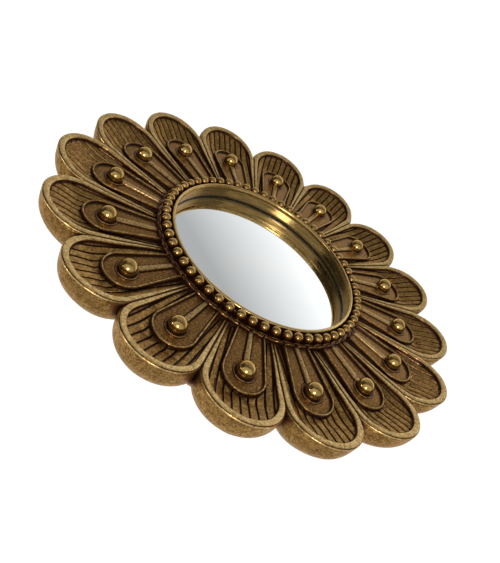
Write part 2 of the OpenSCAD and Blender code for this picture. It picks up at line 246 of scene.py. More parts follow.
def petal_front():
    """Points and triangles of one petal's front, cut along every edge of its relief."""
    pts, edges = [], []

    def line(p, closed=False):
        p = np.asarray(p, float)
        if len(p) < 2:
            return
        start = len(pts)
        pts.extend(p.tolist())
        edges.extend([(start + k, start + k + 1) for k in range(len(p) - 1)])
        if closed:
            edges.append((start + len(p) - 1, start))

    n_side, n_arc = 44, 96
    base, normal = PETAL.base(ROOT_X, n_side, n_arc)
    line(base)
    line([base[-1], base[0]])
    w = rim_w(base[:, 0])[:, None]

    def clip_root(p):
        keep = (p[:, 0] >= ROOT_X - 1e-6)
        return p[keep]

    for inset in (0.14, 0.38, 1.1):
        line(clip_root(base - normal * inset))
    for inset in (-1.1, -0.42, -0.14, 0.0, 0.17, 0.34, 0.6, 0.95, 1.5, 2.3):
        p = base - normal * (w + inset)
        ok = np.abs(p[:, 1]) > 0.2
        line(clip_root(p[ok]) if ok.all() else clip_root(p))
    eb, en = EYE.base(ROOT_X, 30, 56)
    for out in (1.3, 0.8, 0.5, 0.26, 0.13, 0.0, -0.12, -0.27, -0.52, -0.8, -0.93, -1.05, -1.2, -1.38, -1.75, -2.5):
        p = clip_root(eb + en * out)
        a, _, _ = PETAL.inside(p[:, 0], p[:, 1])
        line(p)
    xs = np.linspace(ROOT_X, 98.5, 24)
    for off in (-0.28, -0.12, 0.0, 0.15, 0.3, 0.42, 0.62, 0.9):
        for s in (-1, 1):
            line(np.stack([xs, s * (stem_half(xs) + off)], 1))
    line(np.stack([xs, 0 * xs], 1))
    for radius, n in ((3.6, 28), (4.62, 48), (4.8, 56), (4.92, 56), (5.02, 60), (5.3, 60), (5.7, 60), (5.95, 60), (6.1, 64), (6.17, 64), (6.24, 64), (6.35, 72), (6.46, 72), (6.58, 72), (6.8, 64), (7.3, 56), (8.2, 48)):
        th = np.linspace(0, 2 * math.pi, n, endpoint=False)
        line(np.stack([BALL_R + radius * np.cos(th), radius * np.sin(th)], 1), closed=True)
    for j in GROOVES:
        slope = math.cos(math.atan(abs(j) * 4.64 / 257.6))
        for off in (-1.5, -0.78, -0.64, -0.5, -0.36, -0.2, 0.0, 0.2, 0.36, 0.5, 0.64, 0.78, 1.5):
            gx = np.linspace(ROOT_X + 2, 137, 46)
            gy = groove_y(j, gx) + off / slope
            a, _, _ = PETAL.inside(gx, gy)
            e, _, _ = EYE.inside(gx, gy)
            ok = (a - rim_w(gx) > 0.15) & (e < -0.1)
            run = []
            for k in range(len(gx)):
                if ok[k]:
                    run.append((gx[k], gy[k]))
                elif run:
                    line(run)
                    run = []
            line(run)
    # scattered fill, on a triangular grid
    rows = np.arange(ROOT_X + 0.8, 139.5, 1.25)
    for k, gx in enumerate(rows):
        gy = np.arange(-23, 23, 1.45) + (0.72 if k % 2 else 0.0)
        a, _, _ = PETAL.inside(np.full_like(gy, gx), gy)
        for yy in gy[a > 0.6]:
            pts.append([gx, float(yy)])
    out = geometry.delaunay_2d_cdt([Vector(p) for p in pts], edges, [], 0, 1e-5, False)
    v = np.array([[p.x, p.y] for p in out[0]])
    f = np.array(out[2])
    mid = v[f].mean(1)
    a, _, _ = PETAL.inside(mid[:, 0], mid[:, 1])
    keep = (a > 1e-4) & (mid[:, 0] > ROOT_X)
    f = f[keep][:, ::-1]
    d, patina_and_shade, rub_and_highlight = front(v[:, 0], v[:, 1])
    return np.stack([v[:, 0], v[:, 1], d], 1), f, patina_and_shade, rub_and_highlight, (base, normal)


# Shoulder outside the rim: (outward, down) from the rim's edge, then patina and painted shade, then rubbed gold and
# painted highlight; the rub of 1.0 where it turns to the wall is a painted highlight line
SHOULDER = [
    (0.08, 0.30, 0.9, 0.1), (0.13, 0.46, 1.0, 0.0), (0.20, 0.42, 0.75, 0.1), (0.30, 0.50, 0.15, 0.25),
    (0.44, 0.68, 0.0, 0.35), (0.56, 0.90, 0.0, 0.8), (0.63, 1.04, 0.0, 1.0), (0.64, 1.18, 0.0, 0.7), (0.58, 1.34, 0.25, 0.1),
]


# How far the wall stands outside (+) or inside (-) the rim's outline, by its share of
# the depth from the rim (rows) and the angle round the petal's tip centre (columns)
WALL_F = [0.05, 0.15, 0.3, 0.45, 0.58, 0.7, 0.85, 1.0]
WALL_A = [0, 30, 60, 84, 112]
WALL = [
    [0.8, 0.7, 1.1, 1.7, 2.2], [0.8, 0.6, 0.8, 1.8, 2.9], [0.0, 0.0, 0.2, 1.6, 2.9], [-1.3, -0.8, -0.9, 1.1, 2.5],
    [-3.2, -2.7, -2.6, 0.1, 1.6], [-6.2, -5.5, -5.0, -2.2, -0.2], [-11.3, -10.2, -8.9, -6.2, -4.2], [-16.8, -15.2, -13.3, -10.8, -8.6],
]
WALL_ROWS = [0.075, 0.1, 0.13, 0.17, 0.21, 0.26, 0.31, 0.36, 0.41, 0.46, 0.51, 0.56, 0.61, 0.66, 0.70, 0.74, 0.78, 0.82, 0.86, 0.9, 0.935, 0.965, 0.985, 0.995]


def wall_terms(f, a):
    a = a / 100.0
    return np.stack([f ** i * a ** j for i in range(5) for j in range(4)], -1)


f_all, a_all = np.meshgrid(WALL_F, WALL_A, indexing="ij")
WALL_FIT = np.linalg.lstsq(wall_terms(f_all.ravel(), a_all.ravel().astype(float)), np.array(WALL).ravel(), rcond=None)[0]


def wall_out(f, around):
    return wall_terms(np.full(len(around), float(f)), around) @ WALL_FIT


def petal_wall(base, normal):
    """Rows of points from the rim's edge down the rounded wall to the back."""
    rows, patina_and_shade, rub_and_highlight, drop = [], [], [], []
    r0 = np.hypot(base[:, 0], base[:, 1])
    top = rim_d(r0)
    gap = r0 * np.sin(np.radians(PITCH / 2) - np.abs(np.arctan2(base[:, 1], base[:, 0])))
    for out, down, di, ru in SHOULDER:
        p = base + normal * out
        rows.append(np.column_stack([p, top + down]))
        # painted shade: the shoulder darkens and loses its rubbed gold near the notch between two petals
        near = np.exp(-np.maximum(gap - out, 0) / 0.5)
        patina_and_shade.append(np.maximum(di, near * 0.7))
        rub_and_highlight.append(np.full(len(base), ru) * (1 - near))
        drop.append(np.full(len(base), 0.02))
    frozen = np.zeros(len(base), bool)
    last = rows[-1].copy()
    around = np.clip(np.degrees(np.arctan2(np.abs(base[:, 1]), base[:, 0] - PETAL.c)), 0, 112)
    for t in WALL_ROWS:
        out = wall_out(t, around)
        out = out * step(t, 0.0, 0.1) + SHOULDER[-1][0] * (1 - step(t, 0.0, 0.1))
        p = base + normal * out[:, None]
        d = top + (21.3 - top) * t
        row = np.column_stack([p, d])
        cross = (np.sign(p[:, 1]) != np.sign(base[:, 1])) & (np.abs(base[:, 1]) > 1e-6)
        frozen |= cross
        row[frozen] = last[frozen]
        row[frozen, 1] = 0.0
        rows.append(row)
        last = row.copy()
        g = np.hypot(row[:, 0], row[:, 1]) * np.sin(np.clip(np.radians(PITCH / 2) - np.abs(np.arctan2(row[:, 1], row[:, 0])), 0, 1))
        depth = row[:, 2] - top
        # patina and painted shade: the wall darkens towards the notch between two petals, most near the rim
        deep = np.exp(-np.maximum(g - 0.25, 0) / 1.5) * np.exp(-np.maximum(depth - 8.5, 0) / 4.5)
        patina_and_shade.append(np.clip(deep, 0, 1))
        rub_and_highlight.append(np.zeros(len(base)))
        drop.append(np.full(len(base), t))
    return np.array(rows), np.array(patina_and_shade), np.array(rub_and_highlight), np.array(drop)


def new_object(name, verts, faces, attributes=None, smooth=True):
    mesh = bpy.data.meshes.new(name)
    mesh.from_pydata([tuple(v) for v in verts], [], [tuple(int(i) for i in f) for f in faces])
    for key, values in (attributes or {}).items():
        values = np.asarray(values, np.float32)
        if values.ndim == 1:
            mesh.attributes.new(key, "FLOAT", "POINT").data.foreach_set("value", values)
        else:
            mesh.attributes.new(key, "FLOAT_VECTOR", "POINT").data.foreach_set("vector", values.ravel())
    mesh.validate(verbose=False)
    mesh.update()
    mesh.polygons.foreach_set("use_smooth", [smooth] * len(mesh.polygons))
    obj = bpy.data.objects.new(name, mesh)
    bpy.context.scene.collection.objects.link(obj)
    return obj


def tidy(obj, distance=2e-6):
    """Welds the seams, fills what is open and turns every face outward."""
    bm = bmesh.new()
    bm.from_mesh(obj.data)
    bmesh.ops.remove_doubles(bm, verts=bm.verts, dist=distance)
    bmesh.ops.dissolve_degenerate(bm, edges=bm.edges, dist=1e-7)
    open_edges = [e for e in bm.edges if e.is_boundary]
    if open_edges:
        made = bmesh.ops.holes_fill(bm, edges=open_edges, sides=0)
        bmesh.ops.triangulate(bm, faces=made["faces"])
    bmesh.ops.recalc_face_normals(bm, faces=bm.faces)
    bm.to_mesh(obj.data)
    bm.free()
    obj.data.update()
    return obj


def lathe(profile, segments, closed_ring=False):
    """Points and faces of an outline of (radius, depth) points turned round the axis."""
    prof = np.array(profile, float)
    th = np.linspace(0, 2 * math.pi, segments, endpoint=False)
    verts = np.stack([
        prof[:, 0][:, None] * np.cos(th)[None],
        prof[:, 0][:, None] * np.sin(th)[None],
        np.repeat(prof[:, 1][:, None], segments, 1),
    ], -1).reshape(-1, 3)
    n = len(prof)
    k, s = np.meshgrid(np.arange(n if closed_ring else n - 1), np.arange(segments), indexing="ij")
    k2, s2 = (k + 1) % n, (s + 1) % segments
    faces = np.stack([k * segments + s, k * segments + s2, k2 * segments + s2, k2 * segments + s], -1).reshape(-1, 4)
    return verts, faces


# ---------------------------------------------------------------------------
# The cast ring of petals
def build_frame():
    f_pts, f_tri, f_patina_and_shade, f_rub_and_highlight, (base, normal) = petal_front()
    rows, w_patina_and_shade, w_rub_and_highlight, w_drop = petal_wall(base, normal)
    top = np.column_stack([base, front(base[:, 0], base[:, 1])[0]])
    grid = np.concatenate([top[None], rows])
    g_patina_and_shade = np.concatenate([np.zeros((1, len(base))) + 0.2, w_patina_and_shade])
    g_rub_and_highlight = np.concatenate([np.zeros((1, len(base))) + 0.5, w_rub_and_highlight])
    g_drop = np.concatenate([np.zeros((1, len(base))), w_drop])
    m, n = grid.shape[:2]
    k, s = np.meshgrid(np.arange(m - 1), np.arange(n - 1), indexing="ij")
    quads = np.stack([k * n + s, (k + 1) * n + s, (k + 1) * n + s + 1, k * n + s + 1], -1).reshape(-1, 4)
    arc = np.concatenate([[0], np.cumsum(np.hypot(*np.diff(base, axis=0).T))])
    down = np.concatenate([np.zeros((1, n)), np.cumsum(np.linalg.norm(np.diff(grid, axis=0), axis=2), 0)])
    flow_w = np.stack([np.repeat(arc[None], m, 0), down, np.zeros((m, n))], -1).reshape(-1, 3)
    flow_f = np.stack([f_pts[:, 0], f_pts[:, 1], np.zeros(len(f_pts))], -1)
    all_v, all_f, patina_and_shade, rub_and_highlight, drop, flow = [], [], [], [], [], []
    start = 0
    rng = np.random.default_rng(11)
    for petal in range(PETALS):
        for pts, faces, di, ru, dr, fl in (
            (f_pts, f_tri, f_patina_and_shade, f_rub_and_highlight, np.zeros(len(f_pts)), flow_f),
            (grid.reshape(-1, 3), quads, g_patina_and_shade.ravel(), g_rub_and_highlight.ravel(), g_drop.ravel(), flow_w),
        ):
            all_v.append(world(turned(pts, petal * PITCH)))
            all_f.extend((np.asarray(faces) + start).tolist())
            start += len(pts)
            patina_and_shade.append(di)
            rub_and_highlight.append(ru)
            drop.append(dr)
            flow.append(fl * 0.001 + np.array([0, 0, 0.37 * petal]))
    ring = [
        (64.9, 3.4), (72.6, 3.4), (73.2, 5.2), (88, 4.7), (101, 4.1), (112, 3.4), (117.5, 3.6), (120.0, 4.4), (121.2, 6.2), (121.0, 8.6),
        (120.0, 11), (118.2, 13.4), (115.8, 15.6), (113.2, 17.6), (111.0, 19.4), (109.6, 20.8), (109.0, 21.3),
        (67.8, 21.3), (67.8, 7.7), (64.9, 7.7),
    ]
    rv, rf = lathe(ring, 320, closed_ring=True)
    all_v.append(world(rv))
    all_f.extend((rf + start).tolist())
    rr, rd = np.hypot(rv[:, 0], rv[:, 1]), rv[:, 2]
    # patina and painted shade: the ring's web, seen deep in the notches, darkens towards the front
    patina_and_shade.append(np.clip(1.0 - (rd - 6.0) / 7.0, 0, 1))
    rub_and_highlight.append(np.zeros(len(rv)))
    drop.append(np.clip(rd / 21.3, 0, 1))
    flow.append(np.column_stack([np.arctan2(rv[:, 1], rv[:, 0]) * 0.12, rd * 0.001, np.zeros(len(rv))]))
    obj = new_object("cast_petal_ring", np.vstack(all_v), all_f, {
        "patina_and_shade": np.concatenate(patina_and_shade), "rub_and_highlight": np.concatenate(rub_and_highlight), "drop": np.concatenate(drop), "flow": np.vstack(flow),
    })
    return tidy(obj)


# ---------------------------------------------------------------------------
# Ball studs: turned balls, each with its spigot
def build_balls():
    th = np.linspace(0, math.pi, 41)
    prof = [(5.08 * math.sin(t), 0.1 - 5.08 * math.cos(t)) for t in th if not (t > math.pi / 2 and 5.08 * math.sin(t) < 1.5)]
    prof += [(1.5, 5.1), (1.5, 9.6), (1.2, 10.0), (0.0, 10.0)]
    prof[0] = (0.0, -4.98)
    v, f = lathe(prof, 72)
    verts, faces, patina_and_shade = [], [], []
    for petal in range(PETALS):
        verts.append(world(turned(v + np.array([BALL_R, 0, 0]), petal * PITCH)))
        faces.extend((f + petal * len(v)).tolist())
        # painted shade: each ball darkens towards its seat
        patina_and_shade.append(step(v[:, 2], 0.6, 2.6))
    obj = new_object("ball_studs_polished", np.vstack(verts), faces, {"patina_and_shade": np.concatenate(patina_and_shade)})
    return tidy(obj)


# ---------------------------------------------------------------------------
# Bezel: sleeve, rounded lip, bead row and scalloped ledge
BEADS = 59
BEAD_START = -88.56


def build_bezel():
    lip = []
    for t in np.linspace(196, -24, 23):
        a = math.radians(t)
        lip.append((63.75 + 1.2 * math.cos(a), -2.1 - 1.25 * math.sin(a)))
    prof = [(64.1, 7.7), (63.78, 7.35), (63.6, 6.9), (63.66, 5.0), (63.76, 3.0), (63.86, 1.2), (63.86, 0.4), (63.5, -0.4), (62.95, -1.15)] + lip
    prof += [(64.95, -0.9), (65.0, 0.3), (65.25, 1.0), (65.8, 1.3), (66.4, 1.38), (68.6, 1.4), (70.2, 1.3), (70.62, 1.05), (70.85, 0.66), (71.08, 0.66), (71.4, 1.15)]
    n_in = len(prof)
    ledge = [(71.75, 1.15), (72.05, 1.2), (72.35, 1.45), (72.52, 1.78), (72.6, 2.05), (72.52, 2.35), (72.3, 2.7), (72.25, 3.4), (64.75, 3.4), (64.75, 7.7)]
    prof += ledge
    seg = BEADS * 16
    v, f = lathe(prof, seg, closed_ring=True)
    v = v.reshape(len(prof), seg, 3)
    ang = np.degrees(np.arctan2(v[0, :, 1], v[0, :, 0]))
    phase = (ang - BEAD_START) * BEADS / 360.0
    bump = 0.5 - 0.5 * np.cos(2 * math.pi * phase)  # 1 between two beads
    bump = bump ** 1.6
    rad = np.hypot(v[..., 0], v[..., 1])
    for k in range(n_in - 2, len(prof) - 3):
        weight = [0.3, 0.8, 1, 1, 1, 1, 0.9, 0.5, 0.2, 0, 0][min(k - n_in + 2, 10)]
        new = rad[k] + weight * (0.42 * bump - 0.28 * (1 - bump))
        v[k, :, 0] *= new / rad[k]
        v[k, :, 1] *= new / rad[k]
        v[k, :, 2] -= weight * 0.42 * bump
    v = v.reshape(-1, 3)
    r, d = np.hypot(v[:, 0], v[:, 1]), v[:, 2]
    patina_and_shade = np.where((r > 64.2) & (r < 70.7) & (d < 3), step(d, -2.9, -1.9), 0)
    patina_and_shade = np.maximum(patina_and_shade, np.where((r > 70.7) & (d < 3), 0.85 - 0.7 * np.exp(-((r - 70.97) / 0.15) ** 2) - 0.62 * np.exp(-((r - 72.35) / 0.17) ** 2), 0))
    patina_and_shade = np.maximum(patina_and_shade, np.where(r > 71.4, step(d, 2.1, 2.7), 0))
    wall = np.where(r < 64.3, step(d, -1.6, -0.4), 0)
    # painted shade: the sleeve's end darkens where it meets the glass
    seat = np.where(r < 64.3, step(d, 5.6, 7.2), 0)
    # rubbed gold on the ledge's two crests and the lip's crest, partly painted highlight lines
    rub_and_highlight = np.where((r > 70.8) & (r < 71.15) & (d < 1.3), 0.5, 0) + np.where((r > 72.25) & (d < 1.9), 0.45, 0) + np.where((r > 63.6) & (r < 64.7) & (d < -2.6), 0.6, 0)
    verts, faces = [world(v)], f.tolist()
    patina_and_shade_parts, rub_and_highlight_parts, walls, glass_shade_parts = [patina_and_shade], [rub_and_highlight], [wall], [seat]
    flow = [np.column_stack([np.arctan2(v[:, 1], v[:, 0]) * 0.0637, d * 0.001, 0 * d])]
    start = len(v)
    # cast beads: a little fuller at the waist, sunk in the channel
    th = np.linspace(0, math.pi, 25)
    bead = [(2.9 * math.sin(t) * (1 + 0.02 * math.sin(t) ** 4), -2.9 * math.cos(t)) for t in th]
    bead[0], bead[-1] = (0.0, -2.9), (0.0, 2.9)
    bv, bf = lathe(bead, 40)
    rng = np.random.default_rng(5)
    for k in range(BEADS):
        scale = 1 + 0.012 * rng.standard_normal()
        p = bv * scale + np.array([68.6 + 0.04 * rng.standard_normal(), 0.05 * rng.standard_normal(), -1.85 + 0.05 * rng.standard_normal()])
        verts.append(world(turned(p, BEAD_START + k * 360.0 / BEADS)))
        faces.extend((bf + start).tolist())
        start += len(bv)
        # painted shade and painted reflection: each bead darkens over its back half
        patina_and_shade_parts.append(0.35 * step(p[:, 2], -4.5, -3.0) + 0.65 * step(p[:, 2], -3.3, -1.2))
        rub_and_highlight_parts.append(0.12 * step(-p[:, 2], 3.6, 4.7))
        walls.append(np.zeros(len(bv)))
        glass_shade_parts.append(np.zeros(len(bv)))
        flow.append(np.zeros((len(bv), 3)))
    obj = new_object("beaded_bezel_ring", np.vstack(verts), faces, {
        "patina_and_shade": np.concatenate(patina_and_shade_parts), "rub_and_highlight": np.concatenate(rub_and_highlight_parts), "wall": np.concatenate(walls), "seat": np.concatenate(glass_shade_parts), "flow": np.vstack(flow),
    })
    return tidy(obj)


# ---------------------------------------------------------------------------
# Glass: a disc with ground edges whose silver shows a little behind the sleeve's end
def build_glass():
    prof = [(0.0, 7.85), (40.0, 7.85), (64.0, 7.85), (66.2, 7.85), (66.9, 8.15), (67.3, 8.5), (67.4, 10.4), (67.1, 10.7), (0.0, 10.7)]
    v, f = lathe(prof, 360)
    obj = new_object("silvered_mirror_disc", world(v), f.tolist())
    tidy(obj)
    for p in obj.data.polygons:
        p.use_smooth = abs(p.normal.y) < 0.999
    return obj


# ---------------------------------------------------------------------------
# Materials
def material(name):
    mat = bpy.data.materials.new(name)
    mat.use_nodes = True
    nodes, links = mat.node_tree.nodes, mat.node_tree.links
    nodes.clear()
    out = nodes.new("ShaderNodeOutputMaterial")
    bsdf = nodes.new("ShaderNodeBsdfPrincipled")
    links.new(bsdf.outputs[0], out.inputs[0])
    return mat, nodes, links, bsdf


class Maker:
    """Short names for the nodes that the materials share."""

    def __init__(self, nodes, links):
        self.nodes, self.links = nodes, links

    def put(self, socket, value):
        if hasattr(value, "is_output") or isinstance(value, bpy.types.NodeSocket):
            self.links.new(value, socket)
        elif value is not None:
            socket.default_value = value

    def coords(self):
        return self.nodes.new("ShaderNodeTexCoord").outputs["Object"]

    def attr(self, name, vector=False):
        n = self.nodes.new("ShaderNodeAttribute")
        n.attribute_name = name
        return n.outputs["Vector" if vector else "Fac"]

    def scaled(self, vector, scale, rotate=(0, 0, 0)):
        n = self.nodes.new("ShaderNodeMapping")
        self.put(n.inputs["Vector"], vector)
        n.inputs["Scale"].default_value = scale
        n.inputs["Rotation"].default_value = rotate
        return n.outputs[0]

    def noise(self, vector, scale, detail=3.0, rough=0.5, distortion=0.0):
        n = self.nodes.new("ShaderNodeTexNoise")
        self.put(n.inputs["Vector"], vector)
        n.inputs["Scale"].default_value = scale
        n.inputs["Detail"].default_value = detail
        n.inputs["Roughness"].default_value = rough
        n.inputs["Distortion"].default_value = distortion
        return n.outputs["Fac"]

    def voronoi(self, vector, scale, output="Distance"):
        n = self.nodes.new("ShaderNodeTexVoronoi")
        self.put(n.inputs["Vector"], vector)
        n.inputs["Scale"].default_value = scale
        return n.outputs[output]

    def ramp(self, fac, low, high, smooth=True, out_low=0.0, out_high=1.0):
        n = self.nodes.new("ShaderNodeMapRange")
        n.interpolation_type = "SMOOTHSTEP" if smooth else "LINEAR"
        self.put(n.inputs["Value"], fac)
        n.inputs["From Min"].default_value = low
        n.inputs["From Max"].default_value = high
        n.inputs["To Min"].default_value = out_low
        n.inputs["To Max"].default_value = out_high
        return n.outputs["Result"]

    def math(self, op, a, b=None, clamp=False):
        n = self.nodes.new("ShaderNodeMath")
        n.operation = op
        n.use_clamp = clamp
        self.put(n.inputs[0], a)
        if b is not None:
            self.put(n.inputs[1], b)
        return n.outputs[0]

    def mix(self, fac, a, b, mode="MIX"):
        n = self.nodes.new("ShaderNodeMix")
        n.data_type = "RGBA"
        n.blend_type = mode
        self.put(n.inputs["Factor"], fac)
        self.put(n.inputs["A"], a)
        self.put(n.inputs["B"], b)
        return n.outputs["Result"]

    def bump(self, height, strength, distance, normal=None):
        n = self.nodes.new("ShaderNodeBump")
        n.inputs["Strength"].default_value = strength
        n.inputs["Distance"].default_value = distance
        self.put(n.inputs["Height"], height)
        if normal is not None:
            self.put(n.inputs["Normal"], normal)
        return n.outputs[0]


def srgb(r, g, b):
    def lin(c):
        c /= 255.0
        return c / 12.92 if c <= 0.04045 else ((c + 0.055) / 1.055) ** 2.4
    return (lin(r), lin(g), lin(b), 1.0)


def antique_gold():
    """Matt gold paint on cast resin, with brown patina in the hollows and rubbed high edges, and painted shade and
    painted highlight lines where the masks carry them.
    """
    mat, nodes, links, bsdf = material("antique_gold_paint")
    m = Maker(nodes, links)
    co = m.coords()
    patina_and_shade, rub_and_highlight, drop = m.attr("patina_and_shade"), m.attr("rub_and_highlight"), m.attr("drop")
    flow = m.attr("flow", vector=True)
    # broad mottling, fine speckle, and soft streaks that follow each petal's outline
    broad = m.noise(co, 70.0, 3.0, 0.55)
    mottle = m.noise(co, 340.0, 4.0, 0.62, 0.3)
    grain = m.noise(co, 950.0, 3.0, 0.65)
    speck = m.noise(co, 1700.0, 2.0, 0.6)
    streak = m.noise(m.scaled(flow, (90.0, 620.0, 40.0)), 1.0, 3.0, 0.6, 0.4)
    body = m.mix(m.ramp(mottle, 0.34, 0.66), srgb(120, 87, 43), srgb(166, 127, 70))
    body = m.mix(m.math("MULTIPLY", m.ramp(broad, 0.42, 0.68), 0.5), body, srgb(118, 92, 46))
    body = m.mix(m.math("MULTIPLY", m.ramp(streak, 0.5, 0.78), m.ramp(drop, 0.03, 0.12, out_high=0.55)), body, srgb(108, 79, 40))
    body = m.mix(m.math("MULTIPLY", m.ramp(streak, 0.46, 0.26), m.ramp(drop, 0.03, 0.12, out_high=0.5)), body, srgb(168, 130, 74))
    body = m.mix(m.math("MULTIPLY", m.ramp(grain, 0.5, 0.66), 0.85), body, srgb(76, 48, 21))
    body = m.mix(m.math("MULTIPLY", m.ramp(grain, 0.46, 0.32), 0.6), body, srgb(196, 160, 96))
    # the walls turn greyish green towards the back: a thinner gold coat there, and painted shade towards the back
    body = m.mix(m.math("MULTIPLY", m.ramp(drop, 0.36, 0.85), 0.7), body, srgb(114, 105, 86))
    # rubbed rims, lines and stems, with painted highlight lines
    gold = m.mix(m.ramp(mottle, 0.34, 0.7), srgb(184, 153, 98), srgb(218, 190, 132))
    gold = m.mix(m.math("MULTIPLY", m.ramp(grain, 0.5, 0.66), 0.85), gold, srgb(128, 98, 54))
    gold = m.mix(m.math("MULTIPLY", m.ramp(speck, 0.6, 0.74), 0.7), gold, srgb(90, 62, 30))
    patchy = m.math("ADD", rub_and_highlight, m.math("MULTIPLY", m.math("SUBTRACT", mottle, 0.5), 0.55))
    colour = m.mix(m.ramp(patchy, 0.22, 0.62), body, gold)
    # patina, and painted shade where the mask carries it
    spread = m.math("ADD", m.math("MULTIPLY", m.math("SUBTRACT", mottle, 0.5), 0.7), m.math("MULTIPLY", m.math("SUBTRACT", grain, 0.5), 0.85))
    stain_and_shade = m.math("ADD", patina_and_shade, spread)
    warm = m.mix(m.ramp(stain_and_shade, 0.1, 0.6), colour, srgb(92, 53, 25))
    dark = m.mix(m.ramp(stain_and_shade, 0.45, 0.95), warm, srgb(38, 18, 10))
    m.put(bsdf.inputs["Base Color"], dark)
    metal = m.ramp(stain_and_shade, 0.15, 0.9, out_low=0.85, out_high=0.35)
    m.put(bsdf.inputs["Metallic"], metal)
    bsdf.inputs["Specular IOR Level"].default_value = 0.22
    bsdf.inputs["Specular Tint"].default_value = (1.0, 0.84, 0.66, 1.0)
    face = m.ramp(drop, 0.015, 0.06)
    rough = m.math("ADD", m.ramp(rub_and_highlight, 0.0, 1.0, out_low=0.31, out_high=0.34), m.math("MULTIPLY", m.math("SUBTRACT", grain, 0.5), 0.34))
    rough = m.math("ADD", rough, m.math("MULTIPLY", face, 0.08))
    rough = m.math("SUBTRACT", rough, m.math("MULTIPLY", m.ramp(stain_and_shade, 0.4, 0.9), 0.07))
    m.put(bsdf.inputs["Roughness"], rough)
    relief = m.math("ADD", m.math("MULTIPLY", mottle, 0.5), m.math("MULTIPLY", grain, 0.5))
    m.put(bsdf.inputs["Normal"], m.bump(relief, 0.4, 0.0004))
    return mat


def polished_gold(name, base, deep, rough_low, rough_high, sleeve=False):
    """Glossier gold of the balls, beads and lip, with painted shade towards the balls' seats and the beads' backs, and
    patina in the channel.
    """
    mat, nodes, links, bsdf = material(name)
    m = Maker(nodes, links)
    co = m.coords()
    patina_and_shade, rub_and_highlight = m.attr("patina_and_shade"), m.attr("rub_and_highlight")
    mottle = m.noise(co, 420.0, 4.0, 0.6, 0.4)
    speck = m.noise(co, 1700.0, 2.0, 0.55)
    colour = m.mix(m.ramp(mottle, 0.35, 0.68), base, deep)
    colour = m.mix(m.math("MULTIPLY", m.ramp(rub_and_highlight, 0.1, 0.9), m.ramp(mottle, 0.3, 0.6)), colour, srgb(228, 206, 152))
    colour = m.mix(m.math("MULTIPLY", m.ramp(speck, 0.62, 0.74), 0.4), colour, srgb(110, 82, 44))
    stain_and_shade = m.math("ADD", patina_and_shade, m.math("MULTIPLY", m.math("SUBTRACT", mottle, 0.5), 0.4))
    # patina in the channel and on the ledge, and painted shade on the balls and beads
    colour = m.mix(m.ramp(stain_and_shade, 0.1, 0.55), colour, srgb(112, 72, 36))
    colour = m.mix(m.ramp(stain_and_shade, 0.5, 0.95), colour, srgb(52, 26, 15))
    metal = m.ramp(stain_and_shade, 0.2, 0.95, out_low=0.95, out_high=0.4)
    rough = m.ramp(mottle, 0.3, 0.75, out_low=rough_low, out_high=rough_high)
    if sleeve:
        # turned inside wall: brushed round the axis, darker, with painted shade, a dull olive, where it meets the glass
        turn = m.noise(m.scaled(m.attr("flow", vector=True), (55.0, 1500.0, 1.0)), 1.0, 3.0, 0.6, 0.5)
        wall, seat = m.attr("wall"), m.attr("seat")
        worn = m.mix(m.ramp(turn, 0.34, 0.66), srgb(104, 80, 42), srgb(152, 123, 74))
        colour = m.mix(m.math("MULTIPLY", wall, 0.9), colour, worn)
        colour = m.mix(m.math("MULTIPLY", seat, 0.92), colour, srgb(48, 43, 29))
        metal = m.math("MULTIPLY", metal, m.ramp(seat, 0.0, 1.0, out_low=1.0, out_high=0.4))
        rough = m.math("ADD", rough, m.math("MULTIPLY", wall, m.ramp(turn, 0.3, 0.7, out_low=-0.03, out_high=0.14)))
    m.put(bsdf.inputs["Base Color"], colour)
    m.put(bsdf.inputs["Metallic"], metal)
    bsdf.inputs["Specular IOR Level"].default_value = 0.22
    bsdf.inputs["Specular Tint"].default_value = (1.0, 0.84, 0.66, 1.0)
    m.put(bsdf.inputs["Roughness"], rough)
    m.put(bsdf.inputs["Normal"], m.bump(mottle, 0.18, 0.0003))
    return mat


def silver_mirror():
    mat, nodes, links, bsdf = material("silvered_glass")
    m = Maker(nodes, links)
    co = m.coords()
    haze = m.noise(co, 30.0, 3.0, 0.5)
    dust = m.noise(co, 900.0, 2.0, 0.6)
    m.put(bsdf.inputs["Base Color"], m.mix(m.ramp(haze, 0.3, 0.7), srgb(243, 247, 248), srgb(247, 249, 249)))
    bsdf.inputs["Metallic"].default_value = 1.0
    m.put(bsdf.inputs["Roughness"], m.math("ADD", m.ramp(haze, 0.3, 0.7, out_low=0.008, out_high=0.02), m.math("MULTIPLY", m.ramp(dust, 0.66, 0.8), 0.05)))
    return mat


def board_paint():
    """Black pressed fibre board: fine random fibres and a slightly shiny face."""
    mat, nodes, links, bsdf = material("black_fibre_board")
    m = Maker(nodes, links)
    co = m.coords()
    fibre = m.noise(m.scaled(co, (900.0, 300.0, 160.0), (0, 0.5, 0)), 1.0, 4.0, 0.65, 0.6)
    fibre2 = m.noise(m.scaled(co, (160.0, 300.0, 900.0), (0, -0.4, 0)), 1.0, 4.0, 0.65, 0.6)
    both = m.math("MAXIMUM", fibre, fibre2)
    cloud = m.noise(co, 24.0, 3.0, 0.5)
    colour = m.mix(m.ramp(both, 0.45, 0.75), srgb(20, 20, 21), srgb(44, 42, 40))
    colour = m.mix(m.math("MULTIPLY", m.ramp(cloud, 0.45, 0.7), 0.35), colour, srgb(58, 54, 50))
    m.put(bsdf.inputs["Base Color"], colour)
    m.put(bsdf.inputs["Roughness"], m.ramp(both, 0.3, 0.8, out_low=0.5, out_high=0.78))
    m.put(bsdf.inputs["Normal"], m.bump(both, 0.4, 0.0003))
    return mat


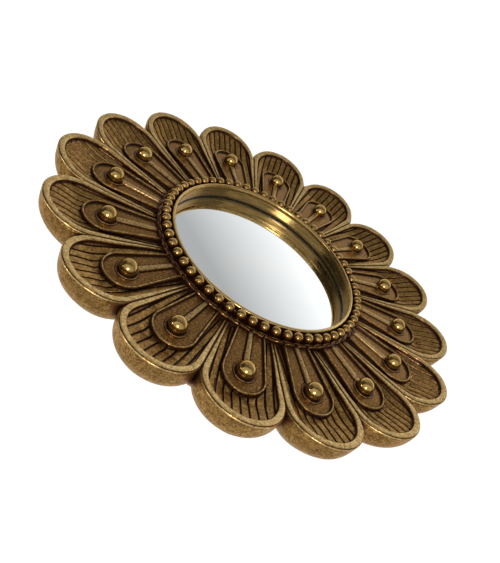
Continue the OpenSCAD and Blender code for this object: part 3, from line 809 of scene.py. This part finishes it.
def foam_pad():
    mat, nodes, links, bsdf = material("grey_foam_pad")
    m = Maker(nodes, links)
    co = m.coords()
    cells = m.voronoi(co, 1400.0)
    cloud = m.noise(co, 60.0, 3.0, 0.5)
    m.put(bsdf.inputs["Base Color"], m.mix(m.ramp(cells, 0.1, 0.6), srgb(38, 38, 40), m.mix(m.ramp(cloud, 0.3, 0.7), srgb(74, 74, 77), srgb(60, 60, 63))))
    m.put(bsdf.inputs["Roughness"], m.ramp(cells, 0.0, 0.6, out_low=0.95, out_high=0.8))
    m.put(bsdf.inputs["Normal"], m.bump(cells, 0.6, 0.0004))
    return mat


def zinc(name, tint, rough, brushed):
    """Bright zinc plating with rolling marks and faint stains."""
    mat, nodes, links, bsdf = material(name)
    m = Maker(nodes, links)
    co = m.coords()
    lines = m.noise(m.scaled(co, brushed), 1.0, 3.0, 0.6)
    cloud = m.noise(co, 260.0, 4.0, 0.6)
    colour = m.mix(m.ramp(cloud, 0.35, 0.7), tint, srgb(150, 148, 140))
    colour = m.mix(m.math("MULTIPLY", m.ramp(cloud, 0.62, 0.8), 0.5), colour, srgb(120, 104, 80))
    m.put(bsdf.inputs["Base Color"], colour)
    bsdf.inputs["Metallic"].default_value = 1.0
    m.put(bsdf.inputs["Roughness"], m.math("ADD", rough, m.math("MULTIPLY", m.math("SUBTRACT", lines, 0.5), 0.3)))
    m.put(bsdf.inputs["Normal"], m.bump(lines, 0.25, 0.0001))
    return mat


def rubber():
    mat, nodes, links, bsdf = material("black_rubber")
    m = Maker(nodes, links)
    co = m.coords()
    grain = m.noise(co, 2200.0, 3.0, 0.6)
    dust = m.noise(co, 500.0, 4.0, 0.6)
    m.put(bsdf.inputs["Base Color"], m.mix(m.ramp(dust, 0.5, 0.75), srgb(24, 24, 25), srgb(62, 60, 57)))
    m.put(bsdf.inputs["Roughness"], m.ramp(grain, 0.3, 0.7, out_low=0.62, out_high=0.85))
    m.put(bsdf.inputs["Normal"], m.bump(grain, 0.3, 0.0002))
    return mat


def dress(obj, mat):
    obj.data.materials.clear()
    obj.data.materials.append(mat)
    return obj


gold = antique_gold()
ball_gold = polished_gold("polished_gold_balls", srgb(196, 163, 99), srgb(168, 134, 74), 0.12, 0.19)
bezel_gold = polished_gold("polished_gold_bezel", srgb(194, 161, 99), srgb(164, 130, 72), 0.12, 0.22, sleeve=True)

ring = dress(build_frame(), gold)
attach(ring, "mirror")
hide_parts("petal_frame")

balls = dress(build_balls(), ball_gold)
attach(balls, "mirror")
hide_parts("ball_studs")

bezel = dress(build_bezel(), bezel_gold)
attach(bezel, "mirror")
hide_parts("bead_bezel")

glass = dress(build_glass(), silver_mirror())
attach(glass, "mirror")
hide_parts("mirror_glass")

nodes = frame["nodes"]
dress(nodes["glass_cushion"], foam_pad())
dress(nodes["back_board"], board_paint())
dress(nodes["board_screws"], zinc("zinc_screws", srgb(196, 197, 198), 0.34, (300.0, 900.0, 300.0)))
dress(nodes["hanger_screw"], nodes["board_screws"].data.materials[0])
dress(nodes["hanger_strap"], zinc("zinc_strap", srgb(200, 201, 204), 0.36, (1500.0, 300.0, 120.0)))
dress(nodes["hanger_ring"], zinc("zinc_ring", srgb(206, 207, 210), 0.26, (200.0, 700.0, 200.0)))
dress(nodes["wall_bumpers"], rubber())

# ---------------------------------------------------------------------------
# Camera
RIGHT = Vector((0.8673, -0.4855, 0.1103)).normalized()
UP = Vector((-0.4514, -0.6734, 0.5854)).normalized()
AHEAD = Vector((0.2099, 0.5575, 0.8032)).normalized()
cam_data = bpy.data.cameras.new("camera")
cam = bpy.data.objects.new("camera", cam_data)
bpy.context.scene.collection.objects.link(cam)
cam.matrix_world = Matrix((
    (RIGHT.x, UP.x, -AHEAD.x, -0.0790),
    (RIGHT.y, UP.y, -AHEAD.y, -0.2164),
    (RIGHT.z, UP.z, -AHEAD.z, -0.3106),
    (0, 0, 0, 1),
))
cam_data.lens = 37.71
cam_data.sensor_width = 36.0
cam_data.clip_start = 0.01
cam_data.clip_end = 50.0
bpy.context.scene.camera = cam


# ---------------------------------------------------------------------------
# Studio: a pale surround that darkens behind the camera, and two soft lamps
def ray(x, y, z):
    """A direction given as right, up and back towards the camera."""
    return (RIGHT * x + UP * y - AHEAD * z).normalized()


def lamp(name, direction, distance, size, power, colour=(1, 1, 1)):
    data = bpy.data.lights.new(name, "AREA")
    data.shape = "DISK"
    data.size = size
    data.energy = power
    data.color = colour
    obj = bpy.data.objects.new(name, data)
    bpy.context.scene.collection.objects.link(obj)
    obj.location = direction * distance
    obj.rotation_mode = "QUATERNION"
    obj.rotation_quaternion = (-direction).to_track_quat("-Z", "Y")
    return obj


world_data = bpy.data.worlds.new("studio")
bpy.context.scene.world = world_data
world_data.use_nodes = True
wn, wl = world_data.node_tree.nodes, world_data.node_tree.links
wn.clear()
wm = Maker(wn, wl)
w_out = wn.new("ShaderNodeOutputWorld")
w_bg = wn.new("ShaderNodeBackground")
wl.new(w_bg.outputs[0], w_out.inputs[0])
w_co = wn.new("ShaderNodeTexCoord").outputs["Generated"]


def facing(direction):
    n = wn.new("ShaderNodeVectorMath")
    n.operation = "DOT_PRODUCT"
    wl.new(w_co, n.inputs[0])
    n.inputs[1].default_value = tuple(direction)
    return n.outputs["Value"]


# a grey room that darkens behind the camera and more so at its left, and a white
# sweep ahead and below that fades out upwards
behind = facing(ray(0, 0, 1))
grey = wm.ramp(behind, 0.0, 0.62, out_low=0.43, out_high=0.17)
left_dark = wm.ramp(facing(ray(-0.75, 0.6, 0.3)), 0.60, 0.86, out_low=1.0, out_high=0.14)
grey = wm.math("MULTIPLY", grey, left_dark)
upper = wm.ramp(facing(ray(-0.7, 0.71, 0)), -0.7, 0.75, smooth=False, out_low=0.78, out_high=1.22)
grey = wm.math("MULTIPLY", grey, upper)
fade = wm.ramp(facing(ray(-0.123, -0.836, -0.535)), -0.53, -0.418, smooth=False)
ahead = wm.ramp(behind, -0.10, -0.30)
under = wm.ramp(facing(ray(-0.3, -0.95, 0.0)), 0.2, 0.6)
under = wm.math("MULTIPLY", under, 0.6)
white = wm.math("MULTIPLY", fade, wm.math("MAXIMUM", ahead, under))
final = wm.math("ADD", grey, wm.math("MULTIPLY", white, wm.math("SUBTRACT", 1.07, grey)))
tone = wn.new("ShaderNodeCombineColor")
wl.new(final, tone.inputs[0])
wl.new(final, tone.inputs[1])
wl.new(final, tone.inputs[2])
wl.new(tone.outputs[0], w_bg.inputs["Color"])
w_bg.inputs["Strength"].default_value = 1.0

lamp("lamp_main", ray(0.02, -0.24, 0.97), 0.85, 0.28, 2.3, (1.0, 0.98, 0.95))
lamp("lamp_side", ray(-0.83, 0.25, 0.50), 0.85, 0.18, 1.0, (1.0, 0.97, 0.92))


def build_floor():
    """A pale studio floor far below the hung mirror, swept up a little at its edges."""
    n = 48
    xs = np.linspace(-3, 3, n)
    gx, gy = np.meshgrid(xs, xs)
    rr = np.hypot(gx, gy)
    gz = -1.3 + 0.25 * step(rr, 1.8, 3.6)
    verts = np.stack([gx.ravel(), gy.ravel(), gz.ravel()], 1)
    k, s = np.meshgrid(np.arange(n - 1), np.arange(n - 1), indexing="ij")
    faces = np.stack([k * n + s, k * n + s + 1, (k + 1) * n + s + 1, (k + 1) * n + s], -1).reshape(-1, 4)
    obj = new_object("studio_floor", verts, faces.tolist())
    mat, fn, fl, bsdf = material("pale_floor")
    m = Maker(fn, fl)
    m.put(bsdf.inputs["Base Color"], m.mix(m.noise(m.coords(), 2.0, 3.0, 0.5), srgb(232, 232, 232), srgb(238, 238, 238)))
    bsdf.inputs["Roughness"].default_value = 0.8
    dress(obj, mat)
    return obj


build_floor()

scene = bpy.context.scene
scene.view_settings.view_transform = "Standard"
scene.view_settings.look = "None"
scene.view_settings.exposure = 0.0
scene.view_settings.gamma = 1.0
